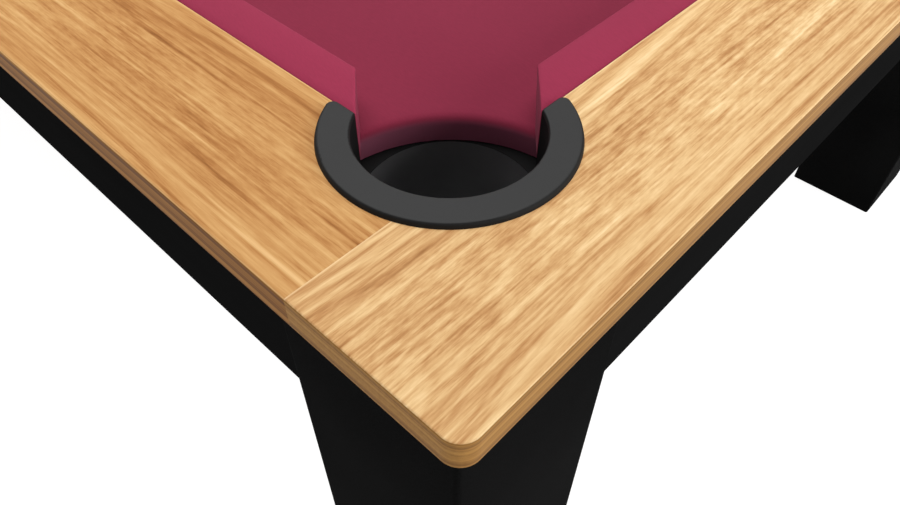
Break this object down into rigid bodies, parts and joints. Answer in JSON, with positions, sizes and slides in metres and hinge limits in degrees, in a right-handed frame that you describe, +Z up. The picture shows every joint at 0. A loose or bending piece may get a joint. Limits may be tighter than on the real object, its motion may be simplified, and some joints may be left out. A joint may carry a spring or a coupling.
{
  "type": "pool table",
  "caption": "Pool table with a slate bed under crimson cloth, flat oak top rails, black pocket rings over drop cups, black aprons and square black legs with levelling feet.",
  "frame": {"origin": "on the floor, under the middle of the table's outline", "axes": "+X along the table towards the foot end, +Y across it towards the far side, +Z up"},
  "size_m": [2.564, 1.444, 0.8035],
  "materials": {
    "oak": "clear satin lacquer",
    "subrail_wood": "planed, bare",
    "frame_timber": "planed, bare",
    "slate": "honed",
    "cloth": "napped worsted wool cloth",
    "cushion_rubber": "wool cloth stretched over rubber",
    "ring_plastic": "moulded, satin",
    "cup_plastic": "moulded, matt",
    "apron_lacquer": "smooth satin black lacquer",
    "leg_powder_coat": "fine textured black powder coat",
    "zinc_steel": "zinc plated",
    "black_steel": "blackened"
  },
  "bodies": {
    "table": {"top_rail_foot": "oak", "subrail_foot": "subrail_wood", "cushion_foot": "cushion_rubber", "top_rail_head": "oak", "subrail_head": "subrail_wood", "cushion_head": "cushion_rubber", "top_rail_near_foot": "oak", "subrail_near_foot": "subrail_wood", "cushion_near_foot": "cushion_rubber", "top_rail_near_head": "oak", "subrail_near_head": "subrail_wood", "cushion_near_head": "cushion_rubber", "top_rail_far_foot": "oak", "subrail_far_foot": "subrail_wood", "cushion_far_foot": "cushion_rubber", "top_rail_far_head": "oak", "subrail_far_head": "subrail_wood", "cushion_far_head": "cushion_rubber", "slate_head": "slate", "slate_middle": "slate", "slate_foot": "slate", "bed_cloth": "cloth", "pocket_ring_foot_near": "ring_plastic", "pocket_cup_foot_near": "cup_plastic", "pocket_ring_foot_far": "ring_plastic", "pocket_cup_foot_far": "cup_plastic", "pocket_ring_head_near": "ring_plastic", "pocket_cup_head_near": "cup_plastic", "pocket_ring_head_far": "ring_plastic", "pocket_cup_head_far": "cup_plastic", "pocket_ring_side_near": "ring_plastic", "pocket_cup_side_near": "cup_plastic", "pocket_ring_side_far": "ring_plastic", "pocket_cup_side_far": "cup_plastic", "apron_near": "apron_lacquer", "apron_far": "apron_lacquer", "apron_head": "apron_lacquer", "apron_foot": "apron_lacquer", "leg_foot_near": "leg_powder_coat", "leg_foot_far": "leg_powder_coat", "leg_head_near": "leg_powder_coat", "leg_head_far": "leg_powder_coat", "end_beam_foot": "frame_timber", "cross_beam_foot": "frame_timber", "end_beam_head": "frame_timber", "cross_beam_head": "frame_timber", "long_beam_near": "frame_timber", "long_beam_far": "frame_timber", "rail_bolts": "zinc_steel", "slate_screws": "zinc_steel", "leg_bolts": "zinc_steel", "pocket_screws": "black_steel"},
    "pad_foot_near": {"levelling_pad_foot_near": "zinc_steel"},
    "stud_foot_near": {"levelling_stud_foot_near": "zinc_steel"},
    "pad_foot_far": {"levelling_pad_foot_far": "zinc_steel"},
    "stud_foot_far": {"levelling_stud_foot_far": "zinc_steel"},
    "pad_head_near": {"levelling_pad_head_near": "zinc_steel"},
    "stud_head_near": {"levelling_stud_head_near": "zinc_steel"},
    "pad_head_far": {"levelling_pad_head_far": "zinc_steel"},
    "stud_head_far": {"levelling_stud_head_far": "zinc_steel"}
  },
  "joints": [
    {"name": "foot_travel_foot_near", "type": "slide", "parent": "table", "child": "pad_foot_near", "axis": [0, 0, -1], "range_m": [0, 0.02]},
    {"name": "stud_turn_foot_near", "type": "hinge", "parent": "pad_foot_near", "child": "stud_foot_near", "pos_m": [1.178, -0.618, 0.02], "axis": [0, 0, -1], "range_deg": [0, 4115.3]},
    {"name": "foot_travel_foot_far", "type": "slide", "parent": "table", "child": "pad_foot_far", "axis": [0, 0, -1], "range_m": [0, 0.02]},
    {"name": "stud_turn_foot_far", "type": "hinge", "parent": "pad_foot_far", "child": "stud_foot_far", "pos_m": [1.178, 0.618, 0.02], "axis": [0, 0, -1], "range_deg": [0, 4115.3]},
    {"name": "foot_travel_head_near", "type": "slide", "parent": "table", "child": "pad_head_near", "axis": [0, 0, -1], "range_m": [0, 0.02]},
    {"name": "stud_turn_head_near", "type": "hinge", "parent": "pad_head_near", "child": "stud_head_near", "pos_m": [-1.178, -0.618, 0.02], "axis": [0, 0, -1], "range_deg": [0, 4115.3]},
    {"name": "foot_travel_head_far", "type": "slide", "parent": "table", "child": "pad_head_far", "axis": [0, 0, -1], "range_m": [0, 0.02]},
    {"name": "stud_turn_head_far", "type": "hinge", "parent": "pad_head_far", "child": "stud_head_far", "pos_m": [-1.178, 0.618, 0.02], "axis": [0, 0, -1], "range_deg": [0, 4115.3]}
  ],
  "couplings": [
    {"joint": "stud_turn_foot_near", "follows": "foot_travel_foot_near", "rad_per_m": 3590.4},
    {"joint": "stud_turn_foot_far", "follows": "foot_travel_foot_far", "rad_per_m": 3590.4},
    {"joint": "stud_turn_head_near", "follows": "foot_travel_head_near", "rad_per_m": 3590.4},
    {"joint": "stud_turn_head_far", "follows": "foot_travel_head_far", "rad_per_m": 3590.4}
  ]
}
